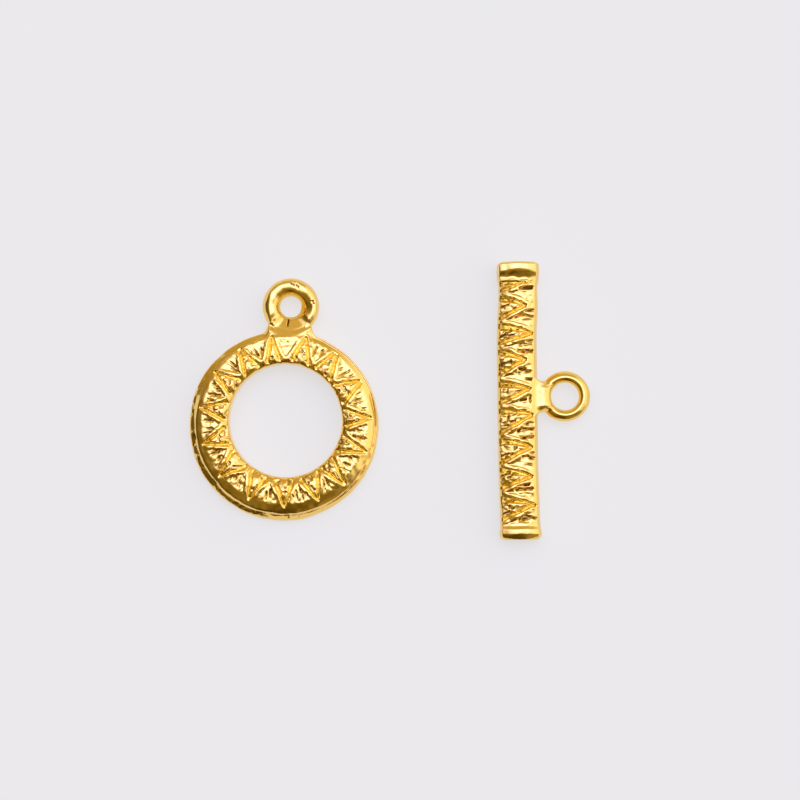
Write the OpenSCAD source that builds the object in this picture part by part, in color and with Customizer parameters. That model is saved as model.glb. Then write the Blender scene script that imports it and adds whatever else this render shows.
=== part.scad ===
// Toggle clasp for a necklace or bracelet: a round loop and a straight bar, each cast in one
// piece with the eye that it is tied on by. Both halves lie face up on their flat backs, side
// by side, as loose findings are laid out. Millimetres, +Z up, the origin on the table under
// the middle of the pair, +Y towards the loop's eye.

/* [Loop half] */
// Outside diameter of the loop's back half, across the seam lip
loop_d = 15.0; // [14.8:0.1:15.6]
// Diameter of the domed front at the seam
dome_d = 14.2; // [14:0.1:14.4]
// Diameter of the hole that the bar passes through
hole_d = 8.9; // [8.4:0.1:9.2]
// How far the hole sits off the dome's centre, towards the eye
hole_shift = 0.3; // [0:0.05:0.4]
// Thickness from the flat back to the crest of the dome
loop_t = 2.2; // [2:0.1:2.6]
// Height of the casting seam above the back
seam_z = 1.0; // [0.8:0.1:1.2]
// Distance from the loop's centre to the centre of its eye
loop_eye_reach = 9.35; // [9.2:0.05:9.5]
// Lean of the eye to the right of straight up, in degrees
loop_eye_lean = 2.6; // [0:0.2:6]
// Bore of the loop's eye
loop_eye_bore = 1.8; // [1.6:0.1:2]
// Outside diameter of the loop's eye
loop_eye_d = 4.5; // [4.3:0.1:4.7]

/* [Bar half] */
// Length of the bar from end to end
bar_l = 22.0; // [21.8:0.1:24]
// Width of the bar's shaft
bar_w = 3.16; // [2.9:0.02:3.4]
// Thickness from the flat back to the crown of the front
bar_t = 2.1; // [1.9:0.1:2.4]
// Width of the rounded end beads
bead_w = 3.4; // [3.4:0.05:3.6]
// Length of the end bead on the side of the loop's eye
top_bead_l = 1.3; // [1:0.1:1.4]
// Length of the end bead on the other end
foot_bead_l = 1.1; // [1:0.1:1.4]
// Distance from the bar's middle line to the centre of its eye
bar_eye_reach = 3.75; // [3.65:0.05:3.9]
// How far the bar's eye sits above the bar's middle
bar_eye_rise = 0.3; // [-1:0.05:1]
// Bore of the bar's eye
bar_eye_bore = 2.2; // [2:0.05:2.3]
// Outside diameter of the bar's eye
bar_eye_d = 3.96; // [3.8:0.02:4.1]
// Turn of the bar where it lies, in degrees, anticlockwise
bar_turn = 0.6; // [-3:0.1:3]

/* [Cast relief] */
// Width of the sunk zigzag channel
channel_w = 0.36; // [0.3:0.02:0.44]
// Depth of the channel below the face around it
channel_depth = 0.16; // [0.1:0.02:0.22]
// Width of one hatch cut between the channels
hatch_w = 0.16; // [0.12:0.02:0.2]
// Depth of a hatch cut
hatch_depth = 0.1; // [0.06:0.02:0.14]

/* [Layout] */
// Distance from the pair's middle to the loop's centre
loop_x = 8.23; // [8:0.01:9]
// How far the loop's centre lies below the pair's middle
loop_drop = 1.9; // [1.5:0.1:2.5]
// Distance from the pair's middle to the bar's middle line
bar_x = 10.12; // [10:0.01:12]

/* [Hidden] */
$fn = 96;
plate = "#d4a036";
past = 0.02;

// Loop section: one arc for the dome, highest at crest_r, that ends in a short straight wall
// at the seam, and straight lines for the back half.
crest_r = 5.75;
dome_r = 2.2;
dome_sink = 0.5;
lip_shift = [-0.12, -0.08];
lip_chamfer = 0.3;
inside_r = hole_d / 2 - 0.6;
hole_at = [0.04, hole_shift];

// Loop eye: a round wire with a short straight land in the bore, set at the seam.
loop_eye_z = 1.0;
loop_wire_r = 0.7;

// The web that joins each eye to its half: its thickness, then its width and its distance
// from the eye's centre, where it leaves the eye and at its foot inside the casting.
WEB_T = 0;
WEB_TOP_W = 1;
WEB_TOP_Y = 2;
WEB_FOOT_W = 3;
WEB_FOOT_Y = 4;
LOOP_WEB = [1.3, 3.8, 1.15, 4.9, 2.5];
BAR_WEB = [0.8, 2.0, 1.3, 2.9, 2.5];

// Bar section: a wide crown arc, and a smaller arc that rounds the corners. Beads too.
crown_r = 3.2;
bar_corner_r = 1.82;
bead_corner_r = 1.92;
bar_eye_z = bar_t / 2;
bar_wire_r = 0.46;

// End beads: bowed at the end, rounded at the plan's corners, and rolled over seen from the
// side. Each rounding is a circle, with its centre's distance back from the end.
bead_bow_r = 5;
bead_plan_r = 2.04;
bead_plan_back = 1.73;
bead_roll_r = 1.4;
bead_roll_back = 1.3;
waist_r = 0.45;
waist_depth = 0.26;

// The loop's relief turns round the hole's centre. One row for each tooth of the zigzag:
// direction and radius of its outward point, and the directions of the two feet that its
// channels run down to, in degrees and millimetres.
TIP_A = 0;
TIP_R = 1;
FOOT_A = 2;
FOOT_B = 3;
LOOP_TEETH = [
    [  99.5, 6.85,  107.5,   94.5],
    [  76.3, 6.85,   84.0,   67.0],
    [  53.3, 6.95,   60.0,   42.5],
    [  27.5, 6.90,   36.0,   16.5],
    [   1.5, 6.90,   10.0,   -4.8],
    [ -21.5, 6.95,  -14.6,  -30.3],
    [ -47.1, 7.00,  -38.5,  -53.0],
    [ -67.3, 6.80,  -58.0,  -75.0],
    [ -90.4, 6.80,  -82.5,  -99.5],
    [-115.1, 6.90, -108.5, -122.9],
    [-139.9, 6.90, -131.0, -148.8],
    [-163.7, 6.65, -156.9, -173.0],
    [-188.9, 6.75, -180.6, -196.8],
    [-214.2, 6.80, -206.1, -221.8],
    [-237.1, 6.80, -229.0, -244.3],
];
foot_r = 4.95;
hatch_in_r = 5.75;
hatch_out_r = 6.65;
hatch_step = 4.6;

// The bar's relief, from the middle of the bar. One row for each tooth: its point on the
// side of the eye, and the heights of its two feet on the other side.
TIP_X = 0;
TIP_Y = 1;
FOOT_TOP = 2;
FOOT_LOW = 3;
BAR_TEETH = [
    [0.45,  9.30,  9.30,  8.69],
    [0.55,  7.50,  8.10,  6.55],
    [1.20,  5.28,  5.88,  4.53],
    [0.62,  3.22,  3.81,  2.18],
    [0.95,  0.91,  1.31, -0.16],
    [1.20, -1.15, -0.79, -2.46],
    [1.03, -3.69, -3.14, -4.84],
    [1.00, -6.00, -5.44, -6.87],
    [1.15, -8.22, -7.70, -9.30],
];
bar_foot_x = -1.25;

// Its hatch cuts: where each starts and ends across the bar, and its height.
HATCH_FROM = 0;
HATCH_TO = 1;
HATCH_Y = 2;
BAR_HATCH = [
    [ 0.10, 1.05,  8.78],
    [ 0.50, 1.30,  7.10],
    [-0.10, 1.25,  6.60],
    [ 0.20, 1.20,  4.37],
    [ 0.15, 1.00,  2.26],
    [ 0.70, 1.15,  1.67],
    [ 0.20, 0.65,  0.04],
    [ 0.00, 1.30, -2.22],
    [ 0.30, 1.25, -2.90],
    [ 0.30, 1.30, -4.57],
    [-0.10, 0.90, -6.75],
    [ 0.20, 1.30, -9.20],
];
relief_z = 1.2;

function polar(r, a) = [r * cos(a), r * sin(a)];

// A straight cut between two points, seen from above.
module strip(from, to, width) {
    run = to - from;
    translate(from)
        rotate(atan2(run[1], run[0]))
            translate([-width / 2, -width / 2])
                square([norm(run) + width, width]);
}

module loop_dome() {
    rotate_extrude()
        intersection() {
            translate([crest_r, loop_t - dome_r]) circle(r = dome_r);
            translate([inside_r, dome_sink]) square([dome_d / 2 - inside_r, loop_t]);
        }
}

module loop_back() {
    outer = loop_d / 2;
    translate(lip_shift)
        rotate_extrude()
            polygon([
                [inside_r, 0],
                [outer - lip_chamfer, 0],
                [outer, lip_chamfer],
                [outer, seam_z - 0.05],
                [outer - 0.05, seam_z],
                [inside_r, seam_z],
            ]);
}

// A round wire bent to an eye, its bore cut straight for a short length.
module wire_eye(outer_d, bore_d, wire_r) {
    rotate_extrude()
        difference() {
            translate([outer_d / 2 - wire_r, 0]) circle(r = wire_r);
            translate([0, -wire_r - past]) square([bore_d / 2, 2 * wire_r + 2 * past]);
        }
}

module eye_web(web) {
    top = web[WEB_TOP_W] / 2;
    foot = web[WEB_FOOT_W] / 2;
    translate([0, 0, -web[WEB_T] / 2])
        linear_extrude(web[WEB_T])
            polygon([
                [-top, -web[WEB_TOP_Y]],
                [top, -web[WEB_TOP_Y]],
                [foot, -web[WEB_FOOT_Y]],
                [-foot, -web[WEB_FOOT_Y]],
            ]);
}

// A cut of constant depth in a curved face: the prism of the first child's plan, less the
// second child, which is the solid under that face, lowered by the depth.
module sunk(depth) {
    difference() {
        translate([0, 0, relief_z]) linear_extrude(loop_t) children(0);
        translate([0, 0, -depth]) children(1);
    }
}

module loop_eye() {
    rotate([0, 0, -loop_eye_lean])
        translate([0, loop_eye_reach, loop_eye_z]) {
            wire_eye(loop_eye_d, loop_eye_bore, loop_wire_r);
            eye_web(LOOP_WEB);
        }
}

module loop_channels() {
    translate(hole_at)
        for (tooth = LOOP_TEETH)
            for (foot = [tooth[FOOT_A], tooth[FOOT_B]])
                strip(polar(foot_r, foot), polar(tooth[TIP_R], tooth[TIP_A]), channel_w);
}

// Three short cuts side by side between each tooth and the next.
module loop_hatches() {
    count = len(LOOP_TEETH);
    translate(hole_at)
        for (i = [0 : count - 1]) {
            next = LOOP_TEETH[(i + 1) % count];
            turn = i == count - 1 ? -360 : 0;
            middle = (LOOP_TEETH[i][TIP_A] + next[TIP_A] + turn) / 2;
            for (k = [-1 : 1]) {
                a = middle + k * hatch_step;
                strip(polar(hatch_in_r, a), polar(hatch_out_r, a), hatch_w);
            }
        }
}

module toggle_loop() {
    color(plate)
        translate([-loop_x, -loop_drop, 0])
            difference() {
                union() {
                    loop_dome();
                    loop_back();
                    loop_eye();
                }
                translate([hole_at[0], hole_at[1], -1]) cylinder(h = loop_t + 2, d = hole_d);
                sunk(channel_depth) {
                    loop_channels();
                    loop_dome();
                }
                sunk(hatch_depth) {
                    loop_hatches();
                    loop_dome();
                }
            }
}

// A length of the bar between two heights: crowned in front, corners rounded, flat behind.
module bar_length(width, corner_r, from_y, to_y) {
    translate([0, to_y, 0])
        rotate([90, 0, 0])
            linear_extrude(to_y - from_y)
                intersection() {
                    translate([-width / 2, 0]) square([width, bar_t]);
                    translate([0, bar_t - crown_r]) circle(r = crown_r);
                    translate([0, bar_t / 2]) circle(r = corner_r);
                }
}

module end_bead(length) {
    intersection() {
        bar_length(bead_w, bead_corner_r, 0, length);
        translate([0, length, -1])
            linear_extrude(bar_t + 2)
                intersection() {
                    translate([0, -bead_bow_r]) circle(r = bead_bow_r);
                    translate([0, -bead_plan_back]) circle(r = bead_plan_r);
                }
        translate([-bead_w, length - bead_roll_back, bar_t / 2])
            rotate([0, 90, 0])
                cylinder(h = 2 * bead_w, r = bead_roll_r);
    }
}

module bar_body() {
    half = bar_l / 2;
    bar_length(bar_w, bar_corner_r, foot_bead_l / 2 - half, half - top_bead_l / 2);
    translate([0, half - top_bead_l, 0]) end_bead(top_bead_l);
    rotate([0, 0, 180]) translate([0, half - foot_bead_l, 0]) end_bead(foot_bead_l);
}

// The hollow across the front where the shaft meets an end bead.
module waist(y) {
    translate([-bead_w, y, bar_t + waist_r - waist_depth])
        rotate([0, 90, 0])
            cylinder(h = 2 * bead_w, r = waist_r);
}

module bar_eye() {
    translate([bar_eye_reach, bar_eye_rise, bar_eye_z])
        rotate([0, 0, -90]) {
            wire_eye(bar_eye_d, bar_eye_bore, bar_wire_r);
            eye_web(BAR_WEB);
        }
}

module bar_channels() {
    for (tooth = BAR_TEETH)
        for (foot = [tooth[FOOT_TOP], tooth[FOOT_LOW]])
            strip([bar_foot_x, foot], [tooth[TIP_X], tooth[TIP_Y]], channel_w);
}

module bar_hatches() {
    for (cut = BAR_HATCH)
        strip([cut[HATCH_FROM], cut[HATCH_Y]], [cut[HATCH_TO], cut[HATCH_Y]], hatch_w);
}

module toggle_bar() {
    half = bar_l / 2;
    color(plate)
        translate([bar_x, 0, 0])
            rotate([0, 0, bar_turn])
                difference() {
                    union() {
                        bar_body();
                        bar_eye();
                    }
                    waist(half - top_bead_l);
                    waist(foot_bead_l - half);
                    sunk(channel_depth) {
                        bar_channels();
                        bar_length(bar_w, bar_corner_r, -half, half);
                    }
                    sunk(hatch_depth) {
                        bar_hatches();
                        bar_length(bar_w, bar_corner_r, -half, half);
                    }
                }
}

toggle_loop();
toggle_bar();
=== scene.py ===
"""Looks of a cast toggle clasp for a necklace: a domed ring with its eye, and a bar with its eye.

Each half is one closed surface that stands for its CAD solid, at the same sizes, and carries
the relief as real depth: sunk zigzag channels with raised rims, pillows with tooled marks
inside the zigzag and hatch cuts outside it. Both are bright gold plate. Shapes are worked out
in millimetres, and a half's own frame has the ring's or the bar's middle at its origin.
"""

import math

import bpy
import numpy as np
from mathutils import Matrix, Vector


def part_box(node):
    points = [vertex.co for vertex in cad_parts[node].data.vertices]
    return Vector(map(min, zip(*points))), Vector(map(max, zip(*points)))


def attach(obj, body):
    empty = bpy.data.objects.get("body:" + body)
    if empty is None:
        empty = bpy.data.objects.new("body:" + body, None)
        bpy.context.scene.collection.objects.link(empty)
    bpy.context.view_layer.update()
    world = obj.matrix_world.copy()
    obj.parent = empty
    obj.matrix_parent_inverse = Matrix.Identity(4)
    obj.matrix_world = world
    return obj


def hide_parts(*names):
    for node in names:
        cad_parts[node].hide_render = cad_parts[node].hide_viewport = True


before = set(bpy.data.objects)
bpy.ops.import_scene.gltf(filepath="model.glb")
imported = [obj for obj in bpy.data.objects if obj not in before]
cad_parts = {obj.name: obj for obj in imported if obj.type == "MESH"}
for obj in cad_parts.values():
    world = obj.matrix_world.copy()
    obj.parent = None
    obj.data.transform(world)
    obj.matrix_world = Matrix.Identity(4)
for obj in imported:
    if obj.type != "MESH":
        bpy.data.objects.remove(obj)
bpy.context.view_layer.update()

MM = 0.001


def polar(radius, degrees):
    """The point at that radius and direction, counted from the right over the top."""
    angle = math.radians(degrees)
    return np.array([radius * math.cos(angle), radius * math.sin(angle)])


# Sizes in millimetres, the same as the solids'

# Ring: a dome of height RING_T with a hole a little off its centre, and a lip low round the
# outside. Its eye lies RING_EYE_REACH from its centre and RING_EYE_LEAN degrees to the right.
RING_T = 2.2
HOLE_R = 4.45
HOLE_AT = np.array([0.04, 0.3])
DOME_EDGE_R = 7.1
LIP_R = 7.5
LIP_AT = np.array([-0.12, -0.08])
LIP_TOP_Z = 1.0
RING_EYE_REACH = 9.35
RING_EYE_LEAN = 2.6
RING_EYE_AT = polar(RING_EYE_REACH, 90 - RING_EYE_LEAN)

# Bar: the crown's section is an arc of CROWN_ARC_R. The eye's place is the one before the bar
# is turned by BAR_TURN.
BAR_HALF = 11.0
BAR_SIDE_X = 1.58
BAR_T = 2.1
CROWN_ARC_R = 3.2
BAR_EYE_AT = np.array([3.75, 0.3])
BAR_TURN = math.radians(0.6)

# Corners of the eyes' sections, as distance from the eye's centre and height: up the bore, over
# the inner rim, the crest and the outer face, and back under.
RING_EYE = [
    (0.85, 0.95), (0.88, 1.19), (1.13, 1.61), (1.42, 1.70), (1.80, 1.73), (2.08, 1.52),
    (2.25, 1.18), (2.25, 0.75), (2.12, 0.42), (1.85, 0.30), (1.35, 0.30), (0.95, 0.34),
    (0.85, 0.60),
]
BAR_EYE = [
    (1.10, 1.10), (1.22, 1.36), (1.50, 1.53), (1.78, 1.36), (1.98, 1.10), (1.98, 0.95),
    (1.80, 0.66), (1.52, 0.58), (1.24, 0.68), (1.10, 0.95),
]

# Where the halves lie, from the corners of the CAD nodes: the ring's lip reaches the loop's
# lowest corner, and the eye reaches the bar's highest x.
LOOP_LOW = np.array(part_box("toggle_loop")[0]) / MM
BAR_LOW, BAR_HIGH = (np.array(corner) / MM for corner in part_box("toggle_bar"))
LOOP_AT = LOOP_LOW[:2] + LIP_R - LIP_AT
BAR_EYE_R = max(radius for radius, _ in BAR_EYE)
BAR_EYE_TURNED_X = BAR_EYE_AT[0] * math.cos(BAR_TURN) - BAR_EYE_AT[1] * math.sin(BAR_TURN)
BAR_AT = np.array([BAR_HIGH[0] - BAR_EYE_R - BAR_EYE_TURNED_X,
                   (BAR_LOW[1] + BAR_HIGH[1]) / 2])

# The zigzag's teeth on the ring, about the hole's centre: direction and radius of the outward
# point, then the directions of its two feet, in degrees and millimetres.
RING_TEETH = np.array([
    [99.5, 6.85, 107.5, 94.5],
    [76.3, 6.85, 84.0, 67.0],
    [53.3, 6.95, 60.0, 42.5],
    [27.5, 6.90, 36.0, 16.5],
    [1.5, 6.90, 10.0, -4.8],
    [-21.5, 6.95, -14.6, -30.3],
    [-47.1, 7.00, -38.5, -53.0],
    [-67.3, 6.80, -58.0, -75.0],
    [-90.4, 6.80, -82.5, -99.5],
    [-115.1, 6.90, -108.5, -122.9],
    [-139.9, 6.90, -131.0, -148.8],
    [-163.7, 6.65, -156.9, -173.0],
    [-188.9, 6.75, -180.6, -196.8],
    [-214.2, 6.80, -206.1, -221.8],
    [-237.1, 6.80, -229.0, -244.3],
])
RING_FOOT_R = 4.87

# Nicks in the ring's neck and eye: the two ends of each, from the ring's centre.
RING_NICKS = np.array([
    [0.20, 7.80, 0.26, 8.28],
    [0.46, 11.17, 0.72, 10.99],
    [0.88, 11.02, 1.05, 10.82],
    [2.20, 9.74, 2.27, 9.58],
])

# The teeth on the bar, from its middle: the point, and the heights of its two feet.
BAR_TEETH = np.array([
    [0.45, 9.30, 9.30, 8.69],
    [0.55, 7.50, 8.10, 6.55],
    [1.20, 5.28, 5.88, 4.53],
    [0.62, 3.22, 3.81, 2.18],
    [0.95, 0.91, 1.31, -0.16],
    [1.20, -1.15, -0.79, -2.46],
    [1.03, -3.69, -3.14, -4.84],
    [1.00, -6.00, -5.44, -6.87],
    [1.15, -8.22, -7.70, -9.30],
])
BAR_FOOT_X = -1.25

# Hatch cuts on the bar: the two ends of each, from the bar's middle.
BAR_HATCH = np.array([
    [0.10, 8.78, 1.05, 8.86],
    [0.50, 7.06, 1.35, 7.10],
    [-0.25, 6.52, 0.45, 6.72],
    [0.45, 6.72, 1.30, 6.52],
    [0.20, 4.32, 1.15, 4.45],
    [0.72, 4.72, 1.25, 4.68],
    [0.10, 3.86, 1.20, 3.84],
    [0.05, 2.50, 0.52, 2.36],
    [0.10, 2.12, 1.00, 2.30],
    [0.65, 1.68, 1.10, 1.66],
    [0.18, 0.02, 0.62, 0.04],
    [1.00, 0.30, 1.00, -0.15],
    [0.70, -1.86, 1.15, -1.90],
    [-0.05, -2.42, 0.70, -2.28],
    [0.70, -2.28, 1.32, -2.30],
    [0.10, -2.94, 1.20, -2.90],
    [0.35, -4.48, 1.35, -4.60],
    [0.85, -4.10, 1.20, -4.14],
    [-0.15, -6.72, 0.75, -6.66],
    [-0.35, -7.08, 0.95, -7.02],
    [-0.10, -9.42, 0.70, -9.30],
    [0.40, -9.16, 1.40, -9.34],
])

# The zigzag's channels: how far they reach inside the teeth and outside them, for the first and
# the second leg of a tooth, how deep they are, and the share of their reach that is flat at the
# bottom. Then how much the pillows inside the teeth swell.
RING_REACHES = ((0.27, 0.18), (0.27, 0.18))
RING_CHANNEL = 0.16
RING_CHANNEL_FLAT = 0.25
RING_PILLOW = 0.06
BAR_REACHES = ((0.62, 0.14), (0.24, 0.17))
BAR_CHANNEL = 0.19
BAR_CHANNEL_FLAT = 0.45
BAR_PILLOW = 0.035

# Outside the teeth a rim stands RIM_PROUD, from CHANNEL_SIDE off a channel's middle. The ground
# that it frames lies GROUND_LOW at most, and a hatch cut of FULL_CUT gets the full painted shade.
CHANNEL_SIDE = 0.15
RIM_PROUD = 0.02
GROUND_LOW = 0.09
FULL_CUT = 0.16


# Shape tools

def ramp(low, high, value):
    """0 below low, 1 above high, and the smooth cubic step between them."""
    t = np.clip((value - low) / (high - low), 0, 1)
    return t * t * (3 - 2 * t)


def soft_min(a, b, blend):
    """The smaller of two values, with the corner rounded over that blend."""
    h = np.clip(blend - np.abs(a - b), 0, None) / blend
    return np.minimum(a, b) - h * h * blend / 4


def bend(p0, p1, p2, count):
    """Count points after p0 on the quadratic curve from p0 to p2 that is pulled towards p1.
    Each point is a pair of radius and height, and either may be an array over the columns."""
    out = []
    for t in np.arange(1, count + 1) / count:
        a, b, c = (1 - t) ** 2, 2 * t * (1 - t), t * t
        out.append(tuple(a * p0[k] + b * p1[k] + c * p2[k] for k in (0, 1)))
    return out


def line(p0, p1, count):
    """Count evenly spaced points after p0 on the straight line from p0 to p1."""
    return [tuple(p0[k] + (p1[k] - p0[k]) * i / count for k in (0, 1))
            for i in range(1, count + 1)]


def lumps(points, size, seed):
    """Smooth random lumps from -1 to 1: one random value at each corner of a cubic lattice of
    that size, blended across each cell with the smooth cubic step."""
    period = 32
    table = np.random.default_rng(seed).uniform(-1, 1, (period, period, period))
    cell = np.floor(points / size).astype(int)
    part = points / size - cell
    part = part * part * (3 - 2 * part)
    total = np.zeros(points.shape[:-1])
    for corner in np.ndindex(2, 2, 2):
        weight = np.ones(points.shape[:-1])
        for axis in range(3):
            share = part[..., axis]
            weight = weight * (share if corner[axis] else 1 - share)
        index = [(cell[..., axis] + corner[axis]) % period for axis in range(3)]
        total += weight * table[index[0], index[1], index[2]]
    return total


def on_plane(x, y):
    """The points with those places, at height 0."""
    return np.stack([x, y, np.zeros_like(x)], -1)


def unit(vectors):
    """The vectors with length 1."""
    return vectors / np.linalg.norm(vectors, axis=-1, keepdims=True)


def step_along(points, axis, closed):
    """Central differences of a grid of points along one of its axes."""
    if closed:
        return (np.roll(points, -1, axis) - np.roll(points, 1, axis)) / 2
    return np.gradient(points, axis=axis)


def normals_of(points, closed_rows, closed_columns):
    """Unit normals of a grid: the cross product of its steps along rows and columns."""
    return unit(np.cross(step_along(points, 0, closed_rows),
                         step_along(points, 1, closed_columns)))


def wrapped(angle):
    """The same angle between minus and plus half a turn, in radians."""
    return (angle + math.pi) % (2 * math.pi) - math.pi


def facing(angle, degrees):
    """How nearly an angle in radians faces that direction: the cosine of what lies between."""
    return np.cos(angle - math.radians(degrees))


def to_segment(x, y, start, end):
    """Distance of each point to the straight segment, and how far along it that is, 0 to 1."""
    run = end - start
    along = np.clip(((x - start[0]) * run[0] + (y - start[1]) * run[1]) / (run @ run), 0, 1)
    return np.hypot(x - start[0] - along * run[0], y - start[1] - along * run[1]), along


def side_of(x, y, start, end, inside):
    """Distance to the endless line through start and end, positive on the side of inside."""
    run = (end - start) / np.linalg.norm(end - start)
    sign = np.sign(run[0] * (inside[1] - start[1]) - run[1] * (inside[0] - start[0]))
    return sign * (run[0] * (y - start[1]) - run[1] * (x - start[0]))


# Relief

def hand_cut(x, y, seed):
    """The same points moved a little, so that edges waver as in a pattern cut by hand: by up to
    0.040 mm in lumps of 0.60 mm, and by up to 0.018 mm in lumps of 0.21 mm."""
    spot = on_plane(x, y)
    return [value + 0.040 * lumps(spot, 0.60, seed + k) + 0.018 * lumps(spot, 0.21, seed + 5 + k)
            for k, value in enumerate((x, y))]


def zigzag(x, y, teeth, reaches, bulge=0.0):
    """Reads the zigzag at each point: how far off the nearest leg it is, as a share of the
    channel's reach on that side, the plain distance to a leg, and how deep inside a tooth it
    lies, negative outside every tooth. Reaches gives the reach inside the tooth and outside it
    for each of its two legs; both narrow evenly towards the point, where they are alike. The
    first leg is bowed outwards by bulge, as a parabola."""
    far, tooth_size = 9.0, 1.7
    near = np.full(x.shape, far)
    away = np.full(x.shape, far)
    depth = np.full(x.shape, -far)
    for point, foot_a, foot_b in teeth:
        middle = (point + foot_a + foot_b) / 3
        _, t = to_segment(x, y, foot_a, point)
        bowed = y - bulge * 4 * t * (1 - t)
        sides = []
        for foot, (inner, outer), level in ((foot_a, reaches[0], bowed), (foot_b, reaches[1], y)):
            gap, t = to_segment(x, level, foot, point)
            sides.append(side_of(x, level, foot, point, middle))
            at_point = 0.7 * outer
            width = np.where(sides[-1] > 0, inner + (at_point - inner) * t,
                             outer + (at_point - outer) * t)
            near = np.minimum(near, gap / width)
            away = np.minimum(away, gap)
        around = np.hypot(x - middle[0], y - middle[1]) < tooth_size
        depth = np.where(around, np.maximum(depth, np.minimum(*sides)), depth)
    return near, away, depth


def relief(near, away, depth, border, cuts, sunk, channel_depth, flat, swell):
    """Height of the cast relief against the smooth face, and how deep the channels and the cuts
    are there, from 0 to 1. A channel is a trough with a bottom that is flat as far as that
    share of its reach. Inside a tooth a pillow swells by swell. On the other side a rounded rim
    runs along the channel and the border, and the hatch cuts sink in the lower ground that it
    frames, as far as sunk says."""
    channel = 1 - ramp(flat, 1, near)
    pillow = -swell * (1 - ramp(0.08, 0.50, depth))
    edge = soft_min(away - CHANNEL_SIDE, border, 0.3)
    cut = cuts * ramp(0.06, 0.26, edge)
    rim = RIM_PROUD * ramp(-0.05, 0.06, edge) - GROUND_LOW * sunk * ramp(0.15, 0.34, edge)
    ground = np.where(depth > 0, pillow, rim - cut)
    return (ground * (1 - channel) - channel_depth * channel, channel,
            np.where(depth > 0, 0, np.clip(cut / FULL_CUT, 0, 1)))


def ring_hatch(x, y, r):
    """Depth of the hatch cuts on the ring: four beside each other in every gap between teeth
    but the first. A cut is a trough with the section of a bell along a leaning radius. Its
    direction, lean, two ends, depth and width are drawn at random."""
    random = np.random.default_rng(11)
    apart = 4.1
    cuts = np.zeros(r.shape)
    tips = RING_TEETH[:, 0]
    for tip, after in zip(tips[1:], [*tips[2:], tips[0] - 360]):
        for k in (-1.5, -0.5, 0.5, 1.5):
            a = math.radians((tip + after) / 2 + k * apart + random.uniform(-1.0, 1.0))
            lean = random.uniform(-0.25, 0.25)
            start = 5.40 + 0.14 * abs(k) + random.uniform(-0.12, 0.28)
            end = random.uniform(6.15, 6.60)
            sink = random.uniform(0.10, 0.20)
            width = random.uniform(0.070, 0.105)
            across = x * math.sin(a) - y * math.cos(a) + lean * (r - 6.0)
            ahead = x * math.cos(a) + y * math.sin(a) > 0
            cut = (sink * np.exp(-(across / width) ** 2) * ramp(start - 0.1, start + 0.1, r)
                   * (1 - ramp(end - 0.40, end + 0.20, r)))
            cuts = np.maximum(cuts, np.where(ahead, cut, 0))
    return cuts


def ring_relief(r, angle):
    """Relief of the ring at a radius and direction from the hole's centre: its height, and how
    deep the channels and the cuts are. Inside the teeth lie tooled marks, random lumps above a
    threshold. Outwards the ground fades out before the channels do, and at the hole all does."""
    x, y = hand_cut(r * np.cos(angle), r * np.sin(angle), 31)
    r = np.hypot(x, y)
    teeth = [(polar(tip_r, tip_a), polar(RING_FOOT_R, a), polar(RING_FOOT_R, b))
             for tip_a, tip_r, a, b in RING_TEETH]
    near, away, depth = zigzag(x, y, teeth, RING_REACHES)
    spot = on_plane(x, y)
    cuts = ring_hatch(x, y, r) * (0.75 + 0.5 * lumps(spot, 0.24, 61))
    whole, channel, cut = relief(near, away, depth, r - FRONT_IN_R, cuts, 1 - ramp(5.9, 6.8, r),
                                 RING_CHANNEL, RING_CHANNEL_FLAT, RING_PILLOW)
    marks = ramp(0.1, 0.7, lumps(spot, 0.26, 77)) * ramp(0.10, 0.26, depth)
    whole = (whole + 0.022 * lumps(spot, 0.30, 51) + 0.012 * lumps(spot, 0.15, 52)
             - 0.085 * marks)
    # Painted shade: the tooled marks count as cuts, so the material paints them brown as well as
    # sinking them.
    cut = np.maximum(cut, 0.6 * marks)
    ground_held = 1 - ramp(6.35, 6.80, r)
    channel_held = 1 - ramp(6.65, 6.98, r)
    inside = ramp(4.47, 4.68, r)
    channel = channel * channel_held
    return ((whole * ground_held - RING_CHANNEL * channel * (1 - ground_held)) * inside,
            channel * inside, cut * inside)


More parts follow.
